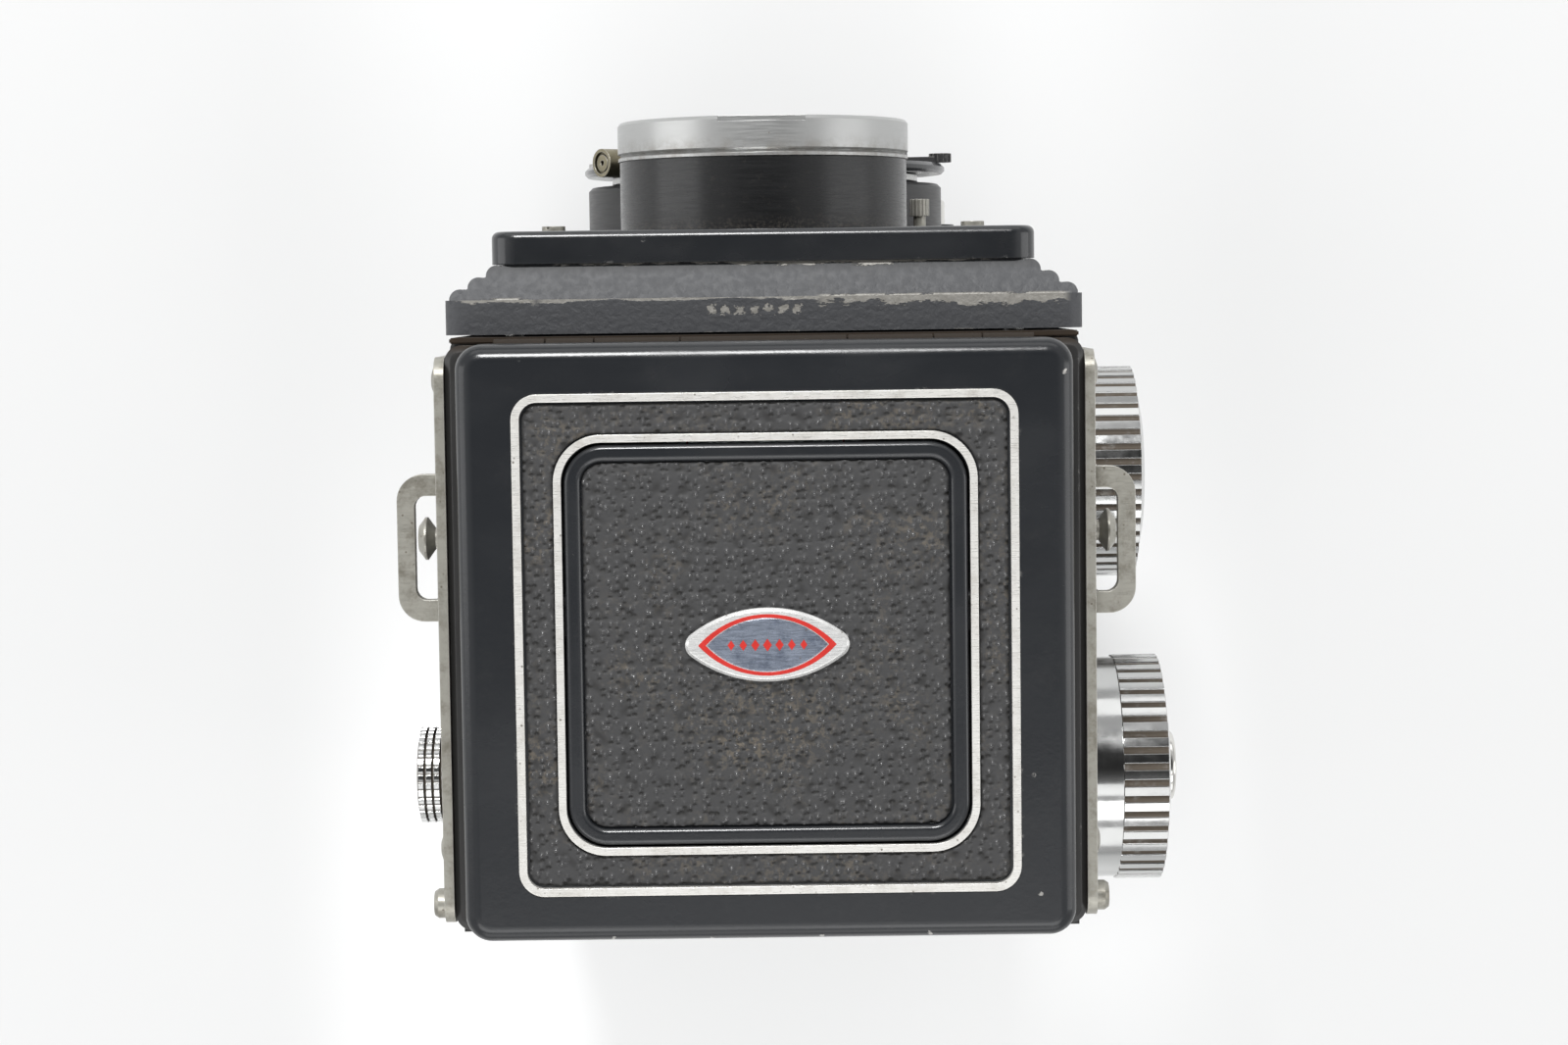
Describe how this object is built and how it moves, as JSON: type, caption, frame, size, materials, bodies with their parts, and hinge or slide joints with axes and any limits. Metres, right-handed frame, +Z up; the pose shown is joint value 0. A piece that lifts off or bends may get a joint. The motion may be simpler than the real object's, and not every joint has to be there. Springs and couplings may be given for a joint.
{
  "type": "twin lens reflex camera",
  "caption": "Twin lens reflex camera for roll film: folding hood and magnifier, spiral-cam focusing lens standard, shutter levers, film advance, hinged back, tripod socket.",
  "frame": {"origin": "mouth of the tripod socket, in the middle of the camera's floor", "axes": "+Z up; the lenses look along -Y; +X is on the right seen from the front"},
  "size_m": [0.0999, 0.1036, 0.1467],
  "materials": {
    "black_enamel": "gloss",
    "black_cast": "rough black with bare edges",
    "black_inner": "matt black",
    "black_satin": "satin",
    "leatherette": "pebbled",
    "chrome_knob": "polished",
    "nickel": "worn",
    "steel": "brushed",
    "satin_aluminium": "satin",
    "brass": "aged",
    "lens_glass": "coated",
    "ground_glass": "ground",
    "mirror": "polished",
    "spool_plastic": "matt",
    "badge_metal": "polished"
  },
  "bodies": {
    "body": {"body_casting": "black_cast", "focusing_screen": "ground_glass", "reflex_mirror": "mirror", "light_chamber": "black_inner", "film_gate": "black_satin", "side_plate_left": "nickel", "side_plate_right": "nickel", "side_leathers": "leatherette", "strap_lugs": "nickel", "body_screws": "nickel", "shaft_bushes": "steel", "hood_frame": "black_enamel", "hinge_pins": "steel"},
    "standard": {"standard_casting": "black_cast", "front_plate": "black_enamel", "guide_rods": "steel", "light_tubes": "black_inner", "focus_rail": "steel", "viewing_barrel": "black_satin", "viewing_ring": "satin_aluminium", "viewing_glass": "lens_glass", "shutter_housing": "black_satin", "shutter_face": "black_enamel", "iris_blades": "steel", "taking_ring": "satin_aluminium", "taking_glass": "lens_glass", "sync_socket": "brass", "terminal_post": "brass", "front_screws": "nickel"},
    "aperture": {"aperture_lever": "steel"},
    "speed": {"speed_lever": "steel"},
    "cocking": {"cocking_lever": "steel"},
    "flash": {"flash_lever": "steel"},
    "release": {"release_button": "chrome_knob"},
    "focus": {"focus_knob": "chrome_knob", "focus_cam": "steel"},
    "advance": {"advance_knob": "chrome_knob", "advance_shaft": "steel", "take_up_spool": "spool_plastic"},
    "clutch": {"advance_button": "chrome_knob"},
    "counter": {"counter_dial": "satin_aluminium"},
    "spool_pull_upper": {"spool_knob_upper": "nickel"},
    "spool_pull_lower": {"spool_knob_lower": "nickel"},
    "upper_roller": {"roller_upper": "steel"},
    "lower_roller": {"roller_lower": "steel"},
    "door": {"back_door": "black_enamel", "door_leather": "leatherette", "tripod_bush": "nickel"},
    "latch": {"latch_dial": "nickel"},
    "pressure": {"pressure_plate": "black_satin"},
    "lid": {"hood_lid": "black_enamel", "lid_trims": "chrome_knob", "lid_leathers": "leatherette", "finder_flap": "black_enamel", "lid_badge": "badge_metal"},
    "magnifier": {"magnifier_frame": "black_satin", "magnifier_lens": "lens_glass"},
    "leaf_left": {"left_leaf": "black_satin"},
    "leaf_right": {"right_leaf": "black_satin"},
    "leaf_rear": {"rear_leaf": "black_satin"}
  },
  "joints": [
    {"name": "focus_turn", "type": "hinge", "parent": "body", "child": "focus", "pos_m": [-0.044, -0.0148, 0.062], "axis": [-1, 0, 0], "range_deg": [0, 270]},
    {"name": "standard_slide", "type": "slide", "parent": "body", "child": "standard", "axis": [0, -1, 0], "range_m": [0, 0.007]},
    {"name": "advance_turn", "type": "hinge", "parent": "body", "child": "advance", "pos_m": [-0.047, 0.0223, 0.099], "axis": [-1, 0, 0], "continuous": true},
    {"name": "counter_turn", "type": "hinge", "parent": "body", "child": "counter", "pos_m": [-0.0373, -0.005, 0.106], "axis": [-1, 0, 0], "continuous": true},
    {"name": "clutch_press", "type": "slide", "parent": "advance", "child": "clutch", "axis": [1, 0, 0], "range_m": [0, 0.0008], "stiffness_N_per_m": 400},
    {"name": "upper_spool_pull", "type": "slide", "parent": "body", "child": "spool_pull_upper", "axis": [1, 0, 0], "range_m": [0, 0.005]},
    {"name": "lower_spool_pull", "type": "slide", "parent": "body", "child": "spool_pull_lower", "axis": [1, 0, 0], "range_m": [0, 0.005]},
    {"name": "upper_roller_turn", "type": "hinge", "parent": "body", "child": "upper_roller", "pos_m": [0, 0.0314, 0.0879], "axis": [1, 0, 0], "continuous": true},
    {"name": "lower_roller_turn", "type": "hinge", "parent": "body", "child": "lower_roller", "pos_m": [0, 0.0314, 0.0281], "axis": [1, 0, 0], "continuous": true},
    {"name": "door_hinge", "type": "hinge", "parent": "body", "child": "door", "pos_m": [0, 0.0366, 0.1296], "axis": [1, 0, 0], "range_deg": [0, 110]},
    {"name": "latch_turn", "type": "hinge", "parent": "door", "child": "latch", "pos_m": [0, -0.0165, 0.0007], "axis": [0, 0, -1], "range_deg": [0, 90]},
    {"name": "pressure_slide", "type": "slide", "parent": "door", "child": "pressure", "axis": [0, 1, 0], "range_m": [0, 0.0008], "stiffness_N_per_m": 600},
    {"name": "lid_hinge", "type": "hinge", "parent": "body", "child": "lid", "pos_m": [0, -0.035, 0.139], "axis": [1, 0, 0], "range_deg": [0, 90]},
    {"name": "magnifier_hinge", "type": "hinge", "parent": "lid", "child": "magnifier", "pos_m": [0, -0.005, 0.1428], "axis": [-1, 0, 0], "range_deg": [0, 90]},
    {"name": "left_leaf_hinge", "type": "hinge", "parent": "body", "child": "leaf_left", "pos_m": [0.032, 0, 0.1382], "axis": [0, 1, 0], "range_deg": [0, 90]},
    {"name": "right_leaf_hinge", "type": "hinge", "parent": "body", "child": "leaf_right", "pos_m": [-0.032, 0, 0.1382], "axis": [0, -1, 0], "range_deg": [0, 90]},
    {"name": "rear_leaf_hinge", "type": "hinge", "parent": "body", "child": "leaf_rear", "pos_m": [0, 0.0302, 0.1382], "axis": [-1, 0, 0], "range_deg": [0, 90]},
    {"name": "aperture_turn", "type": "hinge", "parent": "standard", "child": "aperture", "pos_m": [0, -0.0607, 0.058], "axis": [0, -1, 0], "range_deg": [0, 40]},
    {"name": "speed_turn", "type": "hinge", "parent": "standard", "child": "speed", "pos_m": [0, -0.0572, 0.058], "axis": [0, -1, 0], "range_deg": [0, 40]},
    {"name": "cocking_turn", "type": "hinge", "parent": "standard", "child": "cocking", "pos_m": [0, -0.05975, 0.058], "axis": [0, -1, 0], "range_deg": [0, 40], "stiffness_Nm_per_rad": 0.05, "springref_deg": -17.19},
    {"name": "flash_turn", "type": "hinge", "parent": "standard", "child": "flash", "pos_m": [0.02347, -0.0596, 0.0547], "axis": [0, -1, 0], "range_deg": [0, 60]},
    {"name": "release_press", "type": "slide", "parent": "standard", "child": "release", "axis": [0, 1, 0], "range_m": [0, 0.002], "stiffness_N_per_m": 500}
  ],
  "couplings": [
    {"joint": "focus_turn", "follows": "standard_slide", "rad_per_m": 673.2},
    {"joint": "counter_turn", "follows": "advance_turn", "ratio": 0.076923},
    {"joint": "magnifier_hinge", "follows": "lid_hinge", "ratio": 1},
    {"joint": "left_leaf_hinge", "follows": "lid_hinge", "ratio": 1},
    {"joint": "right_leaf_hinge", "follows": "lid_hinge", "ratio": 1},
    {"joint": "rear_leaf_hinge", "follows": "lid_hinge", "ratio": 1}
  ]
}
